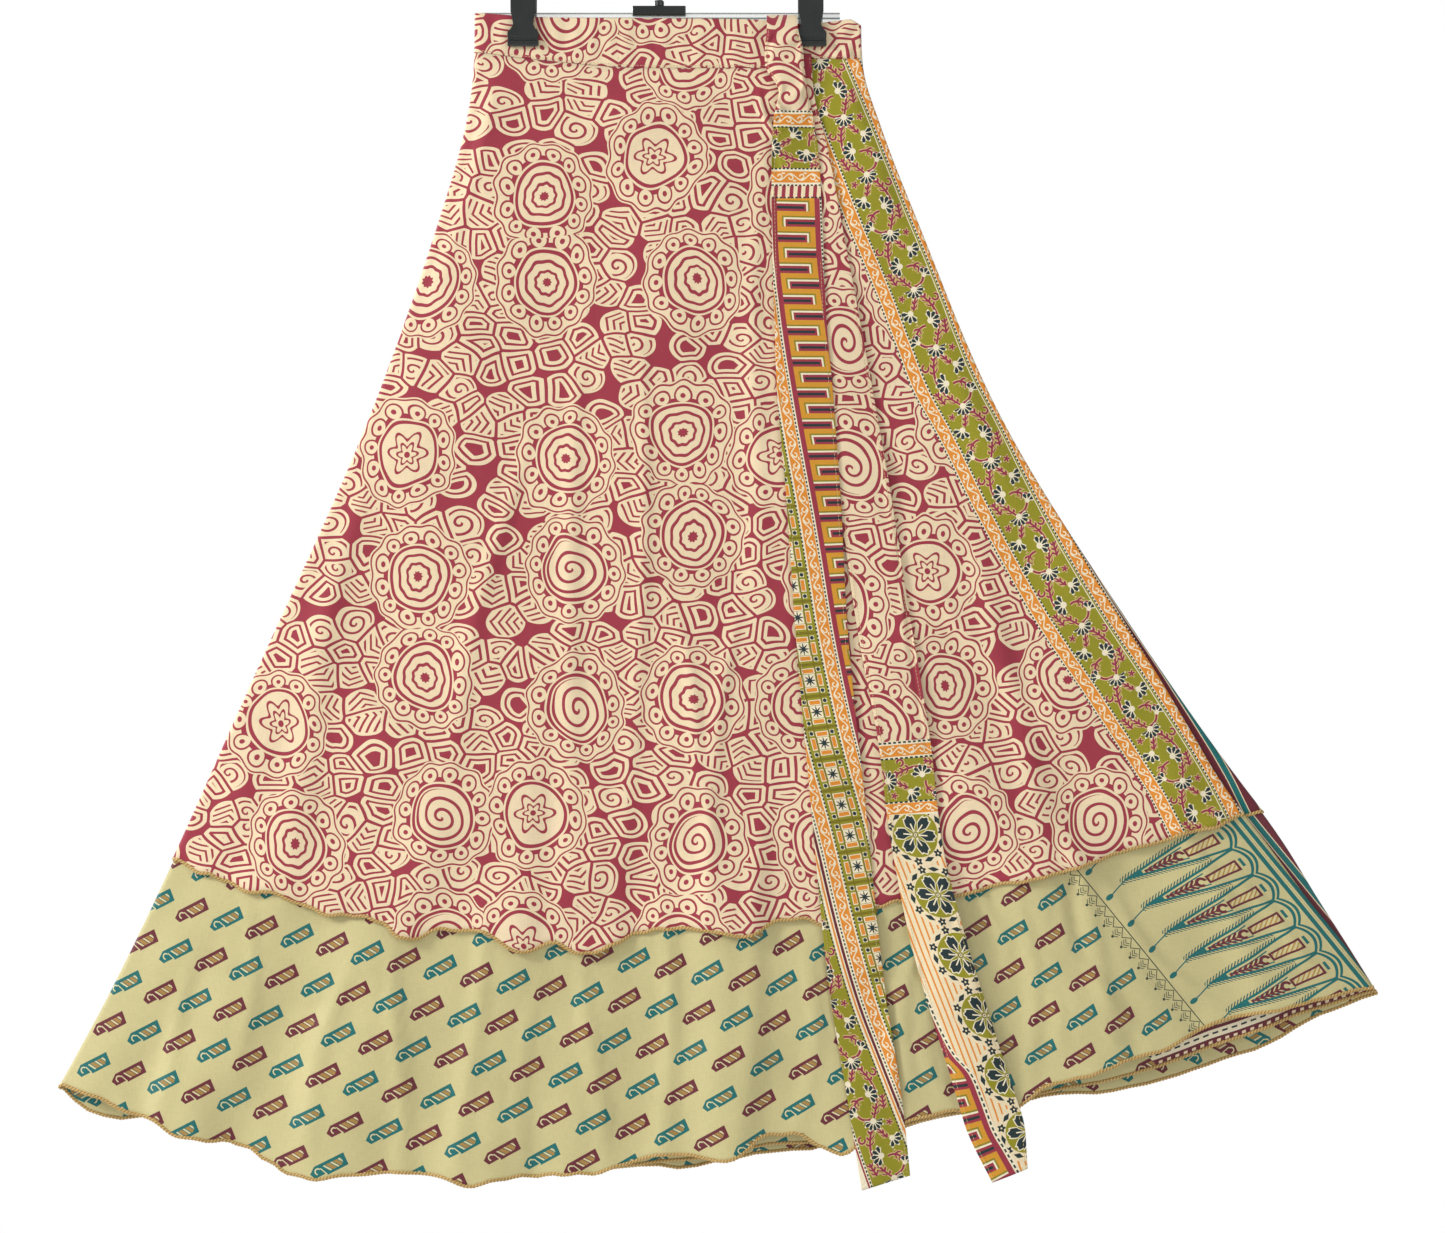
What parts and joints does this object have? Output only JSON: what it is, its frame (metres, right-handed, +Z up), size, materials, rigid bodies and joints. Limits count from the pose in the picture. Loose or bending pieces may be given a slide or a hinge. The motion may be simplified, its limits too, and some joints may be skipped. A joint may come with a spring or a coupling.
{
  "type": "wrap skirt",
  "caption": "Flared two-layer wrap skirt with a printed waistband and long hanging ties, held flat on a clip hanger.",
  "frame": {"origin": "inside top of the hanger's hook, where it rests on a rail", "axes": "+Z up, +X to the right of someone who faces the skirt's front, +Y from the front to the back"},
  "size_m": [1.1082, 0.0355, 1.0581],
  "materials": {
    "maroon_print": "printed plain-weave cloth",
    "olive_sateen": "soft sheen printed cloth",
    "border_print": "printed patchwork cloth",
    "black_plastic": "moulded",
    "clear_acrylic": "clear moulded bar",
    "steel": "bright wire"
  },
  "bodies": {
    "root": {"outer_layer": "maroon_print", "inner_layer": "olive_sateen", "waistband": "maroon_print", "tie_long": "border_print", "tie_short": "border_print", "hanger_bar": "clear_acrylic", "hanger_cap": "black_plastic", "hanger_collar": "black_plastic", "hanger_hook": "steel", "clip_left_front": "black_plastic", "clip_left_back": "black_plastic", "clip_left_block": "black_plastic", "clip_left_pin": "steel", "clip_right_front": "black_plastic", "clip_right_back": "black_plastic", "clip_right_block": "black_plastic", "clip_right_pin": "steel"}
  },
  "joints": []
}
